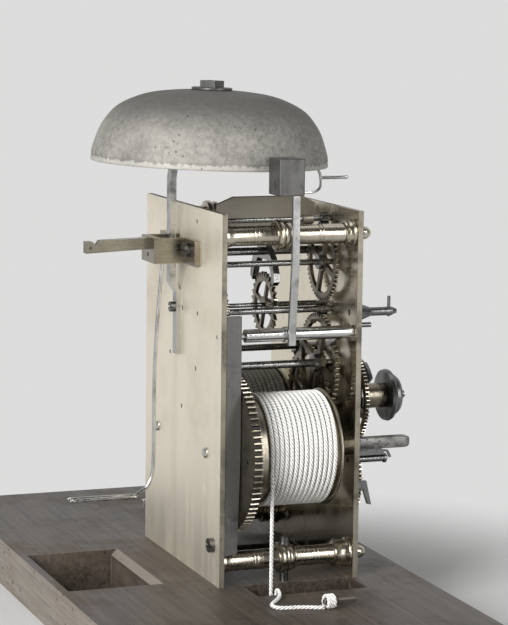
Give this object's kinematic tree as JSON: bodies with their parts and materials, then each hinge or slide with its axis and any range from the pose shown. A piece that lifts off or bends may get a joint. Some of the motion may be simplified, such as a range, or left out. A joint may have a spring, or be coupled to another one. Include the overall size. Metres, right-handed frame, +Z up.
{
  "type": "tall case clock movement",
  "caption": "Weight-driven striking clock movement between two plates on a wooden seat board, with a bell and hammer above, rope barrels and a crutch behind.",
  "frame": {"origin": "underside of the seat board, below the centre arbor and midway between the plates", "axes": "+Z up, +X to the right seen from the dial side, -Y towards the dial"},
  "size_m": [0.332, 0.1834, 0.2485],
  "materials": {
    "board_wood": "dark stained and scuffed",
    "toggle_wood": "ebonised",
    "plate_brass": "polished with faint streaks",
    "wheel_brass": "polished",
    "barrel_brass": "turned",
    "bell_metal": "cast, stained and pitted",
    "rope": "twisted nylon",
    "bright_steel": "bright",
    "dark_steel": "darkened and pitted"
  },
  "bodies": {
    "frame": {"seat_board": "board_wood", "seat_bolts": "dark_steel", "back_plate": "plate_brass", "front_plate": "plate_brass", "pillars": "plate_brass", "pillar_pins": "dark_steel", "back_cock": "plate_brass", "cock_screws": "dark_steel", "bell_stand": "bright_steel", "stand_screw": "dark_steel", "bell": "bell_metal", "bell_nut": "dark_steel", "hammer_spring": "dark_steel", "spring_screw": "dark_steel", "dial_studs": "dark_steel", "stud_pin": "dark_steel", "dial_springs": "dark_steel", "board_pin": "bright_steel", "strike_line": "rope", "line_knot": "rope", "line_toggle": "toggle_wood", "going_line": "rope"},
    "strike_great": {"strike_great_wheel": "wheel_brass", "strike_click": "dark_steel"},
    "strike_barrel": {"strike_barrel": "barrel_brass", "strike_winding": "rope"},
    "pin": {"pin_arbor": "bright_steel", "pin_wheel": "wheel_brass"},
    "gathering": {"gathering_arbor": "bright_steel", "gathering_wheel": "wheel_brass"},
    "warning": {"warning_arbor": "bright_steel", "warning_wheel": "wheel_brass"},
    "fly": {"fly_arbor": "bright_steel", "fly": "plate_brass"},
    "hammer": {"hammer_arbor": "dark_steel", "hammer_arm": "bright_steel", "hammer_head": "dark_steel", "hammer_wire": "bright_steel"},
    "going_great": {"going_great_wheel": "wheel_brass", "going_click": "dark_steel"},
    "going_barrel": {"going_barrel": "barrel_brass", "going_winding": "rope"},
    "centre": {"centre_arbor": "bright_steel", "centre_wheel": "wheel_brass", "cannon_pipe": "wheel_brass", "hand_collet": "dark_steel", "hand_pin": "dark_steel"},
    "minute": {"minute_wheel": "wheel_brass"},
    "hour": {"hour_wheel": "wheel_brass", "snail": "bright_steel"},
    "date": {"date_wheel": "wheel_brass"},
    "third": {"third_arbor": "bright_steel", "third_wheel": "wheel_brass"},
    "escape": {"escape_arbor": "bright_steel", "escape_wheel": "wheel_brass"},
    "pallets": {"pallet_arbor": "bright_steel", "pallets": "bright_steel", "crutch": "bright_steel"}
  },
  "joints": [
    {"name": "fly_spin", "type": "hinge", "parent": "frame", "child": "fly", "pos_m": [-0.02, 0, 0.1856], "axis": [0, -1, 0], "continuous": true},
    {"name": "warning_turn", "type": "hinge", "parent": "frame", "child": "warning", "pos_m": [-0.021, 0, 0.1653], "axis": [0, -1, 0], "continuous": true},
    {"name": "gathering_turn", "type": "hinge", "parent": "frame", "child": "gathering", "pos_m": [-0.0215, 0, 0.1433], "axis": [0, -1, 0], "continuous": true},
    {"name": "pin_wheel_turn", "type": "hinge", "parent": "frame", "child": "pin", "pos_m": [-0.0196, 0, 0.1175], "axis": [0, -1, 0], "continuous": true},
    {"name": "strike_great_turn", "type": "hinge", "parent": "frame", "child": "strike_great", "pos_m": [-0.035, 0.021, 0.081], "axis": [0, -1, 0], "continuous": true},
    {"name": "strike_wind", "type": "hinge", "parent": "strike_great", "child": "strike_barrel", "pos_m": [-0.035, 0, 0.081], "axis": [0, -1, 0], "continuous": true, "deforming": ["strike_line"]},
    {"name": "hammer_lift", "type": "hinge", "parent": "frame", "child": "hammer", "pos_m": [-0.0485, 0, 0.1362], "axis": [0, -1, 0], "range_deg": [0, 12]},
    {"name": "escape_turn", "type": "hinge", "parent": "frame", "child": "escape", "pos_m": [0, -0.007, 0.1431], "axis": [0, -1, 0], "continuous": true},
    {"name": "third_turn", "type": "hinge", "parent": "frame", "child": "third", "pos_m": [0.0174, 0.02, 0.1199], "axis": [0, -1, 0], "continuous": true},
    {"name": "centre_turn", "type": "hinge", "parent": "frame", "child": "centre", "pos_m": [0, -0.03, 0.0967], "axis": [0, -1, 0], "continuous": true},
    {"name": "going_great_turn", "type": "hinge", "parent": "frame", "child": "going_great", "pos_m": [0.035, 0.017, 0.081], "axis": [0, -1, 0], "continuous": true},
    {"name": "going_wind", "type": "hinge", "parent": "going_great", "child": "going_barrel", "pos_m": [0.035, 0, 0.081], "axis": [0, -1, 0], "continuous": true, "deforming": ["going_line"]},
    {"name": "minute_wheel_turn", "type": "hinge", "parent": "frame", "child": "minute", "pos_m": [0.02262, -0.045, 0.10493], "axis": [0, -1, 0], "continuous": true},
    {"name": "hour_turn", "type": "hinge", "parent": "frame", "child": "hour", "pos_m": [0, -0.05, 0.0967], "axis": [0, -1, 0], "continuous": true},
    {"name": "date_turn", "type": "hinge", "parent": "frame", "child": "date", "pos_m": [-0.0066, -0.045, 0.0619], "axis": [0, -1, 0], "continuous": true},
    {"name": "pallet_swing", "type": "hinge", "parent": "frame", "child": "pallets", "pos_m": [0, 0, 0.1687], "axis": [0, -1, 0], "range_deg": [-2, 2]}
  ],
  "couplings": [
    {"joint": "warning_turn", "follows": "fly_spin", "ratio": -0.14583},
    {"joint": "gathering_turn", "follows": "fly_spin", "ratio": 0.020833},
    {"joint": "pin_wheel_turn", "follows": "fly_spin", "ratio": -0.0026042},
    {"joint": "strike_great_turn", "follows": "fly_spin", "ratio": 0.00026709},
    {"joint": "third_turn", "follows": "escape_turn", "ratio": -0.125},
    {"joint": "centre_turn", "follows": "escape_turn", "ratio": 0.016667},
    {"joint": "going_great_turn", "follows": "escape_turn", "ratio": -0.0013889},
    {"joint": "minute_wheel_turn", "follows": "escape_turn", "ratio": -0.016667},
    {"joint": "hour_turn", "follows": "escape_turn", "ratio": 0.0013889},
    {"joint": "date_turn", "follows": "escape_turn", "ratio": -0.00069444}
  ]
}
